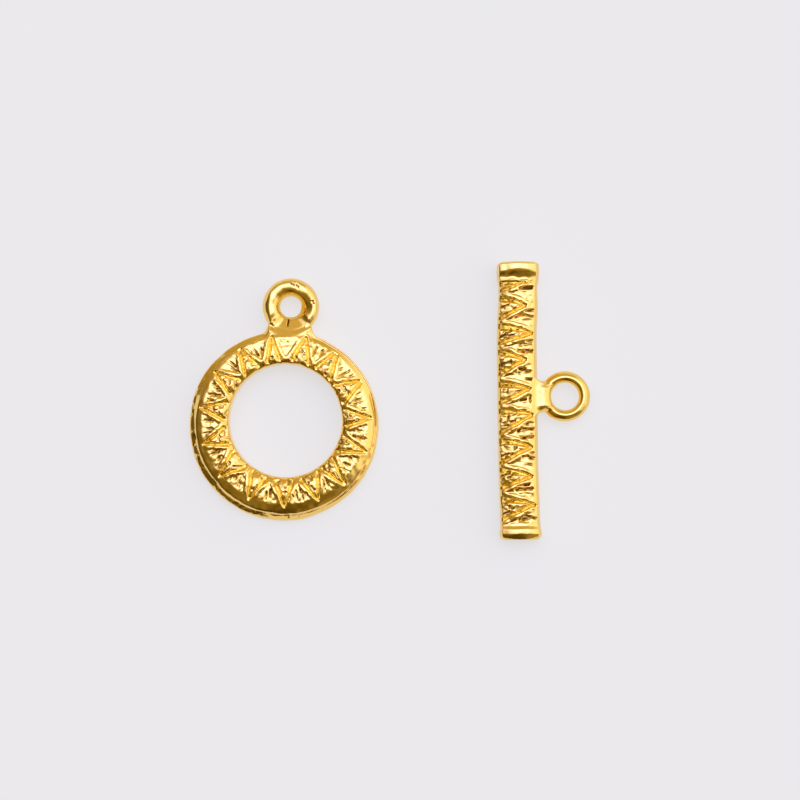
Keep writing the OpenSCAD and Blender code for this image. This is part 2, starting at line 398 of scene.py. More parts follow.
def bar_relief(x, y, z):
    """Relief of the bar at a point from its middle, given as the ring's is. The legs of its
    teeth run on past their feet, over the bar's edge, and its tooled marks slant. It fades out
    at both ends, along the eye's side, by the neck, and down the other side."""
    x0, y0 = x, y
    x, y = hand_cut(x, y, 71)
    run_on = 0.5
    teeth = []
    for tip_x, tip_y, *feet in BAR_TEETH:
        further = 1 + run_on / (tip_x - BAR_FOOT_X)
        teeth.append([np.array([tip_x, tip_y])]
                     + [np.array([BAR_FOOT_X - run_on, tip_y + (foot - tip_y) * further])
                        for foot in feet])
    near, away, depth = zigzag(x, y, teeth, BAR_REACHES, 0.10)
    random = np.random.default_rng(5)
    cuts = np.zeros(x.shape)
    for ax, ay, bx, by in BAR_HATCH:
        gap, _ = to_segment(x, y, np.array([ax, ay]), np.array([bx, by]))
        sink, width = random.uniform(0.14, 0.22), random.uniform(0.08, 0.12)
        cuts = np.maximum(cuts, sink * np.exp(-(gap / width) ** 2))
    spot = on_plane(x, y)
    cuts = cuts * (0.8 + 0.5 * lumps(spot, 0.24, 62))
    whole, channel, cut = relief(near, away, depth, x + 1.40, cuts, 1 - ramp(0.5, 1.2, x),
                                 BAR_CHANNEL, BAR_CHANNEL_FLAT, BAR_PILLOW)
    streaks = on_plane(x / 3, y + 0.15 * x)
    strokes = on_plane(x / 1.7, y - 0.35 * x)
    marks = (ramp(0.10, 0.70, lumps(strokes, 0.17, 79)) * ramp(0.06, 0.22, depth)
             * (1 - ramp(-0.3, 0.5, x)))
    whole = (whole + 0.020 * lumps(spot, 0.27, 52) + 0.022 * lumps(streaks, 0.17, 53)
             - 0.10 * marks)
    # Painted shade: the tooled marks count as cuts, so the material paints them brown as well as
    # sinking them.
    cut = np.maximum(cut, 0.8 * marks)
    ends = ramp(-9.75, -9.55, y) * (1 - ramp(9.35, 9.6, y))
    near_neck = np.exp(-((x0 - 1.5) / 0.45) ** 2 - ((y0 - 0.35) / 0.95) ** 4)
    by_eye = ramp(-1.9, -1.6, y0) * (1 - ramp(2.2, 2.5, y0))
    share = (ends * (1 - ramp(1.12 - 0.08 * by_eye, 1.38 - 0.10 * by_eye, x0))
             * np.where(x0 < 0, ramp(1.44, 1.80, z), 1) * (1 - near_neck))
    return whole * share, channel * share, cut * share


# Grids

def closed_grid(rows, columns, first=0):
    """Corner numbers of a grid of quads that closes on itself both ways."""
    i, j = np.meshgrid(np.arange(rows), np.arange(columns), indexing="ij")
    down, right = (i + 1) % rows, (j + 1) % columns
    return first + np.stack([i * columns + j, down * columns + j,
                             down * columns + right, i * columns + right], -1)


def block_about(middle, half, top, bottom):
    """A block of a grid from its top row to its bottom row, with half so many columns on either
    side of the middle one: its top, bottom, left and right."""
    return top, bottom, middle - half, middle + half


def loop_round(top, bottom, left, right):
    """Row and column numbers once round a block of a grid, from its top left corner."""
    across = np.arange(left, right + 1)
    down = np.arange(top + 1, bottom)
    rows = np.concatenate([np.full(len(across), top), down,
                           np.full(len(across), bottom), down[::-1]])
    columns = np.concatenate([across, np.full(len(down), right),
                              across[::-1], np.full(len(down), left)])
    return rows, columns


def into_block(points, rows, columns, top, bottom, left, right):
    """Unit direction along the surface, from each point of the block's border into it. It is
    square to each side at the side's middle and turns smoothly to the diagonal at the corners:
    minus u cubed across and minus v cubed down, with u and v from -1 to 1 over the block."""
    across = unit(step_along(points, 1, False))[rows, columns]
    down = unit(step_along(points, 0, False))[rows, columns]
    u = (2 * columns - left - right) / (right - left)
    v = (2 * rows - top - bottom) / (bottom - top)
    return unit(-(u**3)[:, None] * across - (v**3)[:, None] * down)


def bridge(start, leave, end, arrive, count):
    """Rows of a surface that leaves the start loop and arrives at the end loop: the cubic
    Hermite curve between each pair of points, with the two given end slopes."""
    t = (np.arange(1, count) / count)[:, None, None]
    return ((2 * t**3 - 3 * t**2 + 1) * start + (t**3 - 2 * t**2 + t) * leave
            + (3 * t**2 - 2 * t**3) * end + (t**3 - t**2) * arrive)


def strips(loops):
    """Quads between one closed loop of point numbers and the next, for each row of loops."""
    a, b = loops[:-1], loops[1:]
    return np.stack([a, b, np.roll(b, -1, 1), np.roll(a, -1, 1)], -1).reshape(-1, 4)


def rounded(corners, place):
    """The closed quadratic B-spline of some corners, at places counted in corners from half
    way between the last and the first: each corner's weight is 1/2 + f - f*f, with (1-f)^2/2
    and f^2/2 for the ones before and after it."""
    corners = np.array(corners)
    i = np.floor(place).astype(int)
    f = (place - i)[:, None]
    count = len(corners)
    return (corners[(i - 1) % count] * (1 - f) ** 2 / 2 + corners[i % count] * (0.5 + f - f * f)
            + corners[(i + 1) % count] * f * f / 2)


def once_round(corners, start, under, span, rest):
    """Places once round a rounded section: span steps from start to under, along the rows that
    the bridge may join, and rest steps from there back to the start."""
    return np.concatenate([np.linspace(start, under, span + 1),
                           np.linspace(under, start + len(corners), rest + 1)[1:-1]])


def eye_grid(centre, corners, way, columns, places, crest_shift=None):
    """The eye's section carried round its centre. Column 0 is opposite the given way.
    Crest_shift moves the middle of the section outwards, column by column."""
    turn = way - math.pi + 2 * math.pi * np.arange(columns) / columns
    section = rounded(corners, places)
    r, z = section[:, :1] + 0 * turn, section[:, 1:]
    if crest_shift is not None:
        inner, outer = np.min(section[:, 0]), np.max(section[:, 0])
        share = (r - inner) / (outer - inner)
        r = r + crest_shift(turn) * (4 * share * (1 - share)) ** 1.5
    return np.stack([centre[0] + r * np.cos(turn), centre[1] + r * np.sin(turn),
                     np.broadcast_to(z, r.shape)], -1)


def cast_skin(points, normals, amount):
    """The unevenness of a hand-finished casting: lumps of 1.1 mm and 0.45 mm, added along the
    normal and kept off the flat back. Amount scales the small ones."""
    high = ramp(0.05, 0.5, points[..., 2])
    skin = 0.012 * lumps(points, 1.1, 3) + 0.005 * amount * lumps(points, 0.45, 4)
    return points + normals * (skin * high)[..., None]


def joined(name, body, plain, marks, body_quads, block, eye, eye_block, pull, shaped, poles=()):
    """One closed mesh of a body and its eye. The block is left out of the body's quads and its
    fellow out of the eye's, and a bridge joins the two borders. It leaves along the plain
    body, without relief. Pull gives its end slopes and rows. Shaped gives the points their last
    form, and how far each one counts as the bottom of a channel and of a cut, to which marks
    adds the body's own. A pole is a point and the rim round it, which a fan of triangles
    joins."""
    top, bottom, left, right = block
    eye_top, eye_bottom, eye_left, eye_right = eye_block
    rows, columns = loop_round(*block)
    eye_rows, eye_columns = loop_round(*eye_block)
    mirrored = eye_left + eye_right - eye_columns

    leave = into_block(plain, rows, columns, *block)
    arrive = -into_block(eye, eye_rows, mirrored, *eye_block)
    start, end = body[rows, columns], eye[eye_rows, mirrored]
    span = np.linalg.norm(end - start, axis=1, keepdims=True)
    front = (eye_rows == eye_top)[:, None]
    between = bridge(start, leave * span * pull["leave"],
                     end, arrive * span * np.where(front, pull["front"], pull["arrive"]),
                     pull["rows"])

    first_eye = body.shape[0] * body.shape[1]
    first_bridge = first_eye + eye.shape[0] * eye.shape[1]
    first_pole = first_bridge + between.shape[0] * between.shape[1]
    eye_quads = closed_grid(eye.shape[0], eye.shape[1], first_eye)
    body_keep = np.ones(body_quads.shape[:2], bool)
    body_keep[top:bottom, left:right] = False
    eye_keep = np.ones(eye_quads.shape[:2], bool)
    eye_keep[eye_top:eye_bottom, eye_left:eye_right] = False
    loops = np.vstack([
        (rows * body.shape[1] + columns)[None],
        np.arange(first_bridge, first_pole).reshape(-1, len(rows)),
        (first_eye + eye_rows * eye.shape[1] + mirrored)[None],
    ])
    quads = np.concatenate([body_quads[body_keep], eye_quads[eye_keep], strips(loops)])
    fans = [np.stack([np.roll(rim, -1), rim, np.full(len(rim), first_pole + number)], -1)
            for number, (_, rim) in enumerate(poles)]

    points, channel, cut = shaped(np.concatenate([body.reshape(-1, 3), eye.reshape(-1, 3),
                                                  between.reshape(-1, 3),
                                                  *[np.array([point]) for point, _ in poles]]))
    depths = {"channel": channel, "cut": cut}
    for mark, values in marks.items():
        depths[mark][:values.size] += values.ravel()
    return mesh_of(name, points, depths, quads, np.concatenate(fans) if fans else None)


def mesh_of(name, points, depths, quads, triangles=None):
    """Puts the points and faces, in millimetres, into a smooth mesh object at the origin, with
    how far each point counts as the bottom of a channel and of a cut as its attributes. Points
    that no face uses are left out."""
    used = np.unique(quads if triangles is None
                     else np.concatenate([quads.ravel(), triangles.ravel()]))
    new = np.zeros(len(points), int)
    new[used] = np.arange(len(used))
    mesh = bpy.data.meshes.new(name)
    corners = new[quads].ravel()
    starts = np.arange(len(quads)) * 4
    if triangles is not None:
        starts = np.concatenate([starts, len(corners) + np.arange(len(triangles)) * 3])
        corners = np.concatenate([corners, new[triangles].ravel()])
    mesh.vertices.add(len(used))
    mesh.vertices.foreach_set("co", (points[used] * MM).ravel())
    mesh.loops.add(len(corners))
    mesh.loops.foreach_set("vertex_index", corners)
    mesh.polygons.add(len(starts))
    mesh.polygons.foreach_set("loop_start", starts)
    mesh.polygons.foreach_set("use_smooth", np.ones(len(starts), bool))
    for mark, values in depths.items():
        mesh.attributes.new(mark, "FLOAT", "POINT").data.foreach_set("value", values[used])
    mesh.update(calc_edges=True)
    mesh.validate()
    piece = bpy.data.objects.new(name, mesh)
    bpy.context.scene.collection.objects.link(piece)
    return piece


# Ring

# The front runs from FRONT_IN_R, from the hole's centre, to FRONT_OUT_R, from the ring's. The
# lower edges are rounded over HOLE_ROUND and LIP_ROUND.
FRONT_IN_R = 4.72
FRONT_OUT_R = 6.85
HOLE_ROUND = 0.3
LIP_ROUND = 0.28

# The face filed on the neck: where it starts, from the ring's centre, its height there, and its
# fall for each millimetre. On the left it doesn't follow the wire down past WIRE_CREST_R.
NECK_TOP_Y = 6.87
NECK_TOP_Z = 1.98
NECK_FALL = 0.43
WIRE_CREST_R = 1.62

# Columns round the hole and round the eye, and rows across the front. The block that opens
# towards the eye starts BLOCK_FRONT_ROWS up the front. The bridge's end slopes are these shares
# of its length: where it leaves the ring, where it arrives at the eye, and at the eye's front.
RING_COLUMNS = 800
RING_EYE_COLUMNS = 280
FRONT_ROWS = 50
RING_HALF_BLOCK = 39
BLOCK_FRONT_ROWS = 1
RING_PULL = dict(leave=0.8, arrive=0.15, front=0.3, rows=28)


def reach(centre, radius, angle):
    """Distance from the hole's centre, in each direction, to a circle about another centre."""
    apart = HOLE_AT - centre
    ahead = apart[0] * np.cos(angle) + apart[1] * np.sin(angle)
    return -ahead + np.sqrt(radius**2 - apart @ apart + ahead**2)


def dome_z(r, angle):
    """Height of the dome at a radius and direction from the hole's centre: one arc outside the
    crest and a tighter one inside it. On the eye's side the crest lies nearest the hole."""
    x, y = HOLE_AT[0] + r * np.cos(angle), HOLE_AT[1] + r * np.sin(angle)
    up = np.sin(angle)
    from_crest = np.hypot(x, y) - (5.38 - 0.07 * up)
    arc_r = np.where(from_crest > 0, 3.6 + 0.5 * up, 1.33 - 0.33 * up)
    return RING_T - arc_r + np.sqrt(arc_r**2 - from_crest**2)


def round_hole(angle):
    """The points round the hole where the lumps along the ring are read."""
    return np.stack([np.cos(angle), np.sin(angle), 0 * angle], -1) * HOLE_R


def walled_side(angle, top, lip):
    """The ring's outside on its low side, down from the front's last row: a wall, then a ledge,
    in short pieces at the left and below, which stands up a little at the right, and the lip,
    whose slope is steepest at the lower right."""
    dome = lambda radius: reach(np.zeros(2), radius, angle)
    wall_top_z, ledge_width, brink_width = 1.42, 0.12, 0.12
    pieces = (ramp(-0.1, 0.3, lumps(round_hole(angle), 0.62, 10))
              * ramp(0.72, 0.92, facing(angle, 200)))
    ledge = np.clip(pieces + ramp(0.955, 0.99, facing(angle, 239)), 0, 1)
    foot_r = dome(DOME_EDGE_R) - 0.03 + 0.09 * ledge + 0.012 * lumps(round_hole(angle), 0.9, 9)
    rise = ramp(0.1, 0.6, facing(angle, 20))
    steep = 0.75 + 0.75 * ramp(0.0, 0.9, facing(angle, -35))
    rows = line(top, (dome(DOME_EDGE_R - 0.06), top[1] - 0.14), 3)
    rows += bend(rows[-1], (dome(DOME_EDGE_R - 0.03), rows[-1][1] - 0.03),
                 (foot_r, wall_top_z), 5)
    rows += line(rows[-1], (foot_r, LIP_TOP_Z + 0.03 - 0.05 * rise), 3)
    rows += line(rows[-1], (foot_r + ledge_width,
                            LIP_TOP_Z - 0.08 * (1 - ledge) + 0.16 * rise), 3)
    brink_r = lip(LIP_R - brink_width)
    brink_z = rows[-1][1] - steep * (brink_r - rows[-1][0])
    rows += line(rows[-1], (brink_r, brink_z), 3)
    rows += bend(rows[-1], (lip(LIP_R), brink_z - brink_width * steep), (lip(LIP_R), 0.40), 4)
    return rows


def sloped_side(angle, top, lip):
    """The ring's outside on the eye's side, in as many rows as the walled one: one plain slope
    to a bevel above the lip, which on the right is a groove."""
    slope = 0.85
    bevel_r = lip(LIP_R - 0.28)
    groove = ramp(0.3, 0.7, facing(angle, 15))
    rows = line(top, (bevel_r, top[1] - slope * (bevel_r - top[0])), 11)
    edge_z = rows[-1][1]
    rows += bend(rows[-1], (bevel_r + 0.08, edge_z - 0.07 - 0.04 * groove),
                 (bevel_r + 0.17, edge_z - 0.145 + 0.165 * groove), 4)
    rows += line(rows[-1], (lip(LIP_R - 0.06), edge_z - 0.19), 2)
    rows += bend(rows[-1], (lip(LIP_R), edge_z - 0.26), (lip(LIP_R), 0.75), 4)
    return rows


def ring_profile(angle):
    """The ring's section at every direction, as rows of radius and height from the hole's
    centre: up the hole's wall, over its rolled edge, across the dome, down the outside and
    back under. The outside blends from the sloped side to the walled one. Random lumps make
    the lip's outline waver. Returns the radii and heights, and the numbers of the front's first
    and last row and of the last one before the back."""
    inner = np.full(angle.shape, HOLE_R)
    waver = 0.035 * ramp(-0.2, 0.8, lumps(round_hole(angle), 0.75, 12))
    lip = lambda radius: reach(LIP_AT, radius, angle) - waver

    step = 0.05
    edge_z = dome_z(FRONT_IN_R, angle)
    fall = (edge_z - dome_z(FRONT_IN_R - step, angle)) / step * (FRONT_IN_R - HOLE_R)
    wall_top = (inner, edge_z - fall - 0.30)
    rows = [(inner, np.full(angle.shape, HOLE_ROUND))]
    rows += line(rows[-1], wall_top, 5)
    rows += bend(wall_top, (inner, edge_z - fall), (FRONT_IN_R + 0 * angle, edge_z), 8)
    first = len(rows) - 1
    out = reach(np.zeros(2), FRONT_OUT_R, angle)
    for t in np.arange(1, FRONT_ROWS + 1) / FRONT_ROWS:
        r = FRONT_IN_R + (out - FRONT_IN_R) * t
        rows.append((r, dome_z(r, angle)))
    last = len(rows) - 1

    walled = (ramp(-0.32, 0.10, facing(angle, -90))
              * (0.85 + 0.15 * lumps(round_hole(angle), 1.3, 8)))
    for (r0, z0), (r1, z1) in zip(sloped_side(angle, rows[-1], lip),
                                  walled_side(angle, rows[-1], lip)):
        rows.append((r0 + (r1 - r0) * walled, z0 + (z1 - z0) * walled))
    rows += line(rows[-1], (lip(LIP_R), LIP_ROUND), 3)
    rows += bend(rows[-1], (lip(LIP_R), 0), (lip(LIP_R - LIP_ROUND), 0), 4)
    back = len(rows) - 1
    rows += line(rows[-1], (HOLE_R + HOLE_ROUND + 0 * angle, 0), 4)
    rows += bend(rows[-1], (inner, 0), rows[0], 3)[:-1]
    r, z = (np.stack([np.broadcast_to(row[k], angle.shape) for row in rows]) for k in (0, 1))
    return r, z, first, last, back


def seam_pits(points, angle):
    """Depth from 0 to 1 of the pits in the seam at the ring's lower left: random lumps above a
    threshold, in a band along the ledge."""
    x, y, z = np.moveaxis(points, -1, 0)
    seam = (ramp(6.95, 7.10, np.hypot(x, y)) * ramp(0.75, 0.90, z) * (1 - ramp(1.15, 1.45, z))
            * ramp(0.0, 0.5, facing(angle, 225)))
    return seam * ramp(0.20, 0.65, lumps(points, 0.27, 95))


def by_neck(x, y, z):
    """The part of the ring by its neck, where the relief is laid on straight down, so that it
    runs on over the neck: 1 there, and 0 away from it. From the ring's centre."""
    return (ramp(-2.6, -2.2, x) * (1 - ramp(2.3, 2.7, x)) * ramp(6.0, 6.4, y)
            * ramp(1.0, 1.3, z))


def worn(dx, dy):
    """How much lower the ring's eye is than its section on the right, where links have rubbed
    its inner rim, and below on the right: two bells over the direction, each fading out across
    the wire. From the eye's centre."""
    from_eye, turn = np.hypot(dx, dy), np.arctan2(dy, dx)
    return (0.26 * (1 - ramp(1.20, 1.80, from_eye)) * np.exp(-(wrapped(turn + 0.15) / 0.60) ** 2)
            + 0.14 * (1 - ramp(1.6, 2.1, from_eye)) * np.exp(-(wrapped(turn + 0.95) / 0.40) ** 2))


def filed_face(x, y, z):
    """The face filed on the ring's neck, from the ring's centre: its height, and how far it
    holds at each point, from 0 to 1. It is a plane that falls from the dome to the eye, between
    a slanting edge on either side and an arc across the dome. Beside the neck it runs into the
    top of the eye's own wire."""
    dx, dy = x - RING_EYE_AT[0], y - RING_EYE_AT[1]
    from_eye = np.hypot(dx, dy)
    aside = np.degrees(np.abs(np.arctan2(dx, -dy)))
    outside, below = ramp(1.80, 2.15, from_eye), 1 - ramp(7.8, 8.3, y)
    on_wire = np.where(dx < 0, np.minimum(from_eye, WIRE_CREST_R), from_eye)
    wire = np.interp(on_wire, *rounded(RING_EYE, np.linspace(1.0, 6.5, 60)).T) - worn(dx, dy)
    plane = NECK_TOP_Z - NECK_FALL * (y - NECK_TOP_Y)
    face = wire + (plane - wire) * np.maximum(1 - ramp(26, 54, aside), outside * below)
    left, right = -1.62 + 0.25 * (y - DOME_EDGE_R), 2.62 - 0.60 * (y - DOME_EDGE_R)
    holds = (np.maximum((1 - ramp(52, np.where(dx < 0, 72, 62), aside)) * (1 - outside),
                        outside * below)
             * ramp(-0.1, 0.35, x - left) * ramp(-0.1, 0.35, right - x)
             * ramp(-0.08, 0.10, y - NECK_TOP_Y - 0.20 * (x - 0.3) ** 2)
             * ramp(0.5, 0.9, z) * ramp(0.93, 1.10, from_eye))
    return face, holds


def filed_neck(points):
    """The ring's last form by its neck: the relief runs on over it, on ground that rises to meet
    the neck, the filed face takes both off, and a few short nicks are cut there and in the eye.
    The eye's bore counts as a channel, for the painted reflection round it, and the nicks as cuts,
    for the painted shade in them."""
    x, y, z = points[:, 0] - LOOP_AT[0], points[:, 1] - LOOP_AT[1], points[:, 2]
    near = by_neck(x, y, z)
    some = near > 0
    hx, hy = x[some] - HOLE_AT[0], y[some] - HOLE_AT[1]
    height, channel, cut = np.zeros((3, len(x)))
    height[some], channel[some], cut[some] = ring_relief(np.hypot(hx, hy), np.arctan2(hy, hx))
    shelf = 0.09 * ramp(6.25, 6.90, y) * ramp(-1.6, -1.1, x) * (1 - ramp(1.6, 2.1, x))
    nick = np.zeros(x.shape)
    for ax, ay, bx, by in RING_NICKS:
        gap, _ = to_segment(x, y, np.array([ax, ay]), np.array([bx, by]))
        nick = np.maximum(nick, np.exp(-(gap / 0.06) ** 2) * ramp(0.5, 0.7, z))
    face, holds = filed_face(x, y, z)
    out = points.copy()
    out[:, 2] = z + (shelf + height * (1 - ramp(6.85, 7.15, y))) * near
    out[:, 2] += (face - out[:, 2]) * holds - 0.12 * nick
    from_eye = np.hypot(x - RING_EYE_AT[0], y - RING_EYE_AT[1])
    # Painted reflection round the eye's bore, counted as a channel, and painted shade in the
    # nicks, counted as cuts.
    return (out, 0.8 * (1 - ramp(1.08, 1.20, from_eye)) + channel * near * (1 - holds),
            np.clip(2.2 * nick + cut * near * (1 - holds), 0, 1))


def toggle_loop():
    """The loop half: the ring's section at each direction round the hole, with the relief, the
    seam's pits and the casting's skin added along the normal, joined to its eye, whose crest is
    bowed outwards on the right and worn."""
    towards = math.atan2(*(RING_EYE_AT - HOLE_AT)[::-1])
    angle = towards - math.pi + 2 * math.pi * np.arange(RING_COLUMNS) / RING_COLUMNS
    r, z, first, last, back = ring_profile(angle)
    around = np.broadcast_to(angle, r.shape)
    smooth = np.stack([HOLE_AT[0] + r * np.cos(around), HOLE_AT[1] + r * np.sin(around), z], -1)
    normals = normals_of(smooth, True, True)

    # The relief's own fades end it over the hole's rolled edge and just past the front.
    front = slice(first - 7, last + 3)
    height, channel, cut = np.zeros((3, *r.shape))
    height[front], channel[front], cut[front] = ring_relief(r[front], around[front])
    pits = seam_pits(smooth, around)
    # Painted shade: the seam's pits count as cuts, so they are painted brown as well as sunk.
    height, cut = height - 0.04 * pits, np.maximum(cut, 0.75 * pits)
    low_side = ramp(-0.12, 0.30, facing(around, -85))
    rough = 1 + 5.0 * ramp(6.3, 6.8, r) * low_side + 2.0 * (1 - ramp(4.60, 4.85, r))
    plain = cast_skin(smooth, normals, rough)
    away = 1 - by_neck(*np.moveaxis(smooth, -1, 0))
    body = plain + normals * (height * away)[..., None]
    marks = {"channel": channel * away, "cut": cut * away}

    block_top = last - BLOCK_FRONT_ROWS
    span = back - block_top
    crest_shift = lambda turn: 0.20 * np.exp(-(wrapped(turn + 0.15) / 0.55) ** 2)
    eye = eye_grid(RING_EYE_AT, RING_EYE, math.atan2(*(-RING_EYE_AT)[::-1]), RING_EYE_COLUMNS,
                   once_round(RING_EYE, 0.5, 10.0, span, 15), crest_shift)
    dx, dy = eye[..., 0] - RING_EYE_AT[0], eye[..., 1] - RING_EYE_AT[1]
    eye[..., 2] -= worn(dx, dy) * ramp(0.8, 1.3, eye[..., 2])
    eye = cast_skin(eye, normals_of(eye, True, True), 3.5)
    for points in (body, plain, eye):
        points[..., :2] += LOOP_AT
    piece = joined("cast_loop", body, plain, marks, closed_grid(*body.shape[:2]),
                   block_about(RING_COLUMNS // 2, RING_HALF_BLOCK, block_top, back), eye,
                   block_about(RING_EYE_COLUMNS // 2, RING_HALF_BLOCK, 0, span),
                   RING_PULL, filed_neck)
    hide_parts("toggle_loop")
    return piece


# Bar

# Along the bar, as stations of place and value: its middle line, half width and front height.
BAR_MIDDLE = [(11.2, 0.16), (8.7, 0.16), (4.5, 0.0), (-4.0, 0.0), (-11.2, 0.12)]
BAR_WIDTH = [(11.2, 1.67), (9.9, 1.66), (8.8, 1.49), (7.4, 1.55), (-9.4, 1.56), (-10.0, 1.58),
             (-10.4, 1.64), (-11.2, 1.64)]
BAR_FRONT = [(11.4, 2.09), (10.50, 2.09), (9.54, 1.84), (8.98, 2.03), (8.6, 2.05), (-6.0, 2.05),
             (-9.80, 1.91), (-10.22, 2.09), (-11.4, 2.09)]

# The ends: the sides stop at BAR_END, which leaves room for the casting's skin. The corners
# there are broken, through these points of distance from the end and depth below the surface.
BAR_END = BAR_HALF - 0.03
HEAD_CORNER = [(0.24, 0), (0.17, 0), (0.13, 0.05), (0.03, 0.20), (0, 0.24), (0, 0.36)]
FOOT_CORNER = [(0.50, 0), (0.44, 0), (0.36, 0.05), (0.05, 0.24), (0, 0.28), (0, 0.45)]

# The section: the crown turns down EDGE_TURN before the side. Steps over the crown, its edge,
# the side and the lower edge. The relief starts RELIEF_BEFORE steps before the crown, and ends
# RELIEF_ON steps past it, on the eye's side.
EDGE_TURN = 0.26
CROWN_STEPS = 76
EDGE_STEPS, SIDE_STEPS, FOOT_STEPS = 9, 10, 7
RELIEF_ON, RELIEF_BEFORE = 4, 12

# Columns between the broken corners and round the eye. The block that opens towards the eye
# starts one step before the crown's end and ends two past the lower edge. The bridge is set as
# the ring's is.
BAR_COLUMNS = 500
BAR_EYE_COLUMNS = 312
BAR_HALF_BLOCK = 36
BAR_BLOCK_ROWS = 1 + EDGE_STEPS + SIDE_STEPS + FOOT_STEPS + 2
BAR_PULL = dict(leave=1.2, arrive=0.6, front=0.5, rows=16)

# Rings of points that close an end, as shares of its size.
CAP_RINGS = np.array([0.3, 0.7, 0.97])


def bar_section():
    """The bar's section once round, as half widths and heights. It runs across the crown to the
    eye's side, down that side and back under."""
    crown_z = lambda x: BAR_T - CROWN_ARC_R + np.sqrt(CROWN_ARC_R**2 - x * x)
    side = BAR_SIDE_X
    turn_x = side - EDGE_TURN
    crown_x = np.linspace(-turn_x, turn_x, CROWN_STEPS + 1)
    points = list(zip(crown_x, crown_z(crown_x)))
    corner = crown_z(turn_x) - EDGE_TURN * math.tan(math.asin(1.45 / CROWN_ARC_R))
    half = bend(points[-1], (side - 0.19, corner + 0.05), (side, corner - 0.46), EDGE_STEPS)
    half += line(half[-1], (side, 0.25), SIDE_STEPS)
    half += bend(half[-1], (side, 0), (side - 0.25, 0), FOOT_STEPS)
    under = line(half[-1], (-half[-1][0], 0), 8)[:-1]
    mirrored = [(-x, z) for x, z in half[::-1]]
    return np.array(points + half + under + mirrored)


def through(stations, y):
    """A smooth curve through stations of place and value, level at each station."""
    place, value = np.array(sorted(stations)).T
    k = np.clip(np.searchsorted(place, y) - 1, 0, len(place) - 2)
    t = ramp(0, 1, (y - place[k]) / (place[k + 1] - place[k]))
    return value[k] + (value[k + 1] - value[k]) * t


def bar_front(x, y):
    """Height of the bar's front: level, with a valley under the head whose upper edge is bowed
    and whose lower edge slants, and a shallow step above the foot."""
    upper = ramp(9.7, 10.3, y)
    bow = 0.22 * (x / 1.3) ** 2 * upper - 0.11 * (1 - x / 1.3) * (1 - upper)
    return through(BAR_FRONT, y + bow * ramp(8.9, 9.2, y))


def broken_corner(corners):
    """Points over a broken corner: a rounding, a straight slope and a rounding again."""
    points = bend(*corners[:3], 4)
    points += line(points[-1], corners[3], 3)
    return points + bend(points[-1], *corners[4:], 4)


def bar_sides():
    """The bar without its eye and ends: its section carried along it, scaled to the width and
    the front's height at each place, with the left edge pushed out a little to a tighter
    rounding, both ends drawn in on an arc and their corners lowered. Returns the points with
    relief and without, and how deep the channels and the cuts are."""
    head_y, head_in = np.array(broken_corner(HEAD_CORNER)).T
    foot_y, foot_in = np.array(broken_corner(FOOT_CORNER)[::-1]).T
    y_foot, y_head = -BAR_END + foot_y, BAR_END - head_y
    along = np.concatenate([y_foot, np.linspace(y_foot[-1], y_head[0], BAR_COLUMNS)[1:-1], y_head])
    inset = np.concatenate([foot_in, np.zeros(BAR_COLUMNS - 2), head_in])

    section = bar_section()
    x = section[:, :1] * through(BAR_WIDTH, along) / BAR_SIDE_X
    x = x - 0.11 * ramp(0.95, 1.36, -x) * (1 - ramp(1.40, 1.62, -x))
    y = np.broadcast_to(along, x.shape)
    z = section[:, 1:] * bar_front(x, y) / BAR_T
    normals = normals_of(np.stack([x, y, z], -1), True, False)
    end = np.clip(1 - (BAR_END - np.abs(along)) / 0.40, 0, 1)
    drawn_in = 0.30 * (1 - np.sqrt(1 - end * end))
    lowered = inset * (1 + 0.4 * (x / 1.4) ** 2)
    smooth = np.stack([x * (1 - drawn_in / BAR_SIDE_X), y, z * (1 - lowered / BAR_T)], -1)

    height, channel, cut = bar_relief(x, y, z)
    for values in (height, channel, cut):
        values[CROWN_STEPS + RELIEF_ON:-RELIEF_BEFORE] = 0
    plain = cast_skin(smooth, normals, 1.0 + 3.5 * ramp(9.3, 9.6, np.abs(y)))
    body = plain + normals * height[..., None]
    for points in (body, plain):
        points[..., 0] += through(BAR_MIDDLE, along)
    return body, plain, channel, cut


def bar_cap(rim, way):
    """The rings that close an end of the bar, from its middle outwards, and the middle itself.
    The rings lie a little further out, that way along the bar, than the rim's middle."""
    centre = rim.mean(0)
    share = CAP_RINGS[None, :, None]
    rings = rim[:, None] * share + centre * (1 - share)
    rings[..., 1] = centre[1] + way * 0.01
    return rings, centre


def swelled_neck(points):
    """The bar's neck: its middle swells up level with the bar's edge as far as the eye's hole,
    and is a little lumpy. The eye's bore counts as a channel, for the painted reflection round it."""
    dx, dy = points[:, 0] - BAR_AT[0], points[:, 1] - BAR_AT[1]
    x = dx * math.cos(BAR_TURN) + dy * math.sin(BAR_TURN)
    y = dy * math.cos(BAR_TURN) - dx * math.sin(BAR_TURN)
    z = points[:, 2]
    out = points.copy()
    rise = ramp(1.3, 2.2, x) * (1 - ramp(2.4, 2.9, x)) * (1 - ramp(0.60, 1.15, np.abs(y - 0.20)))
    uneven = 0.035 * lumps(points, 0.42, 91) * ramp(1.5, 1.9, x) * (1 - ramp(2.6, 3.1, x))
    out[:, 2] = z + (0.20 * rise + uneven) * ramp(0.9, 1.3, z)
    from_eye = np.hypot(x - BAR_EYE_AT[0], y - BAR_EYE_AT[1])
    # Painted reflection round the eye's bore, counted as a channel.
    return out, 0.8 * (1 - ramp(1.16, 1.30, from_eye)), np.zeros(len(points))


